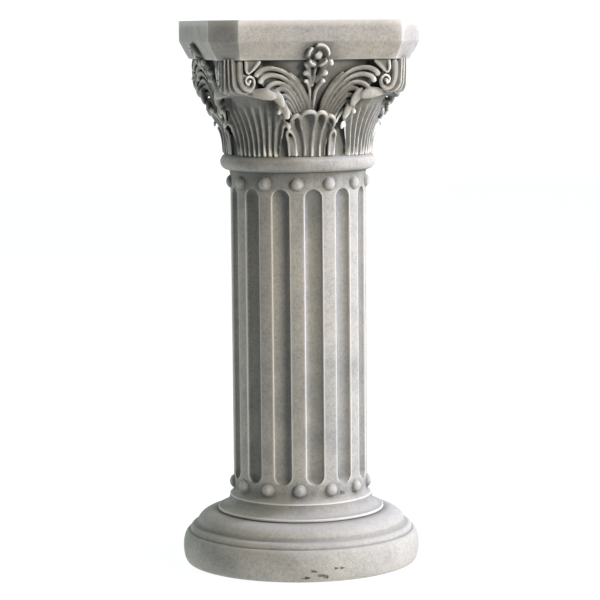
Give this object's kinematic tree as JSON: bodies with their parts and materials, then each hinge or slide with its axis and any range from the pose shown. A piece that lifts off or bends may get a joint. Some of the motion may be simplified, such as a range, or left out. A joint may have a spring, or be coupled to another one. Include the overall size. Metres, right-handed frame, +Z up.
{
  "type": "corinthian column pedestal",
  "caption": "Fluted round column pedestal in cast stone with a moulded base, a leaf-carved capital with corner volutes and a flat square top to stand an urn or bust on.",
  "frame": {"origin": "centre of the underside of the moulded base", "axes": "+Z up the column's axis, -Y out of one face of the square top, which is the front, +X to the right seen from the front"},
  "size_m": [0.3476, 0.3476, 0.7906],
  "materials": {
    "cast_stone": "matte, fine sandy grain with light weathering"
  },
  "bodies": {
    "root": {"pedestal": "cast_stone"}
  },
  "joints": []
}
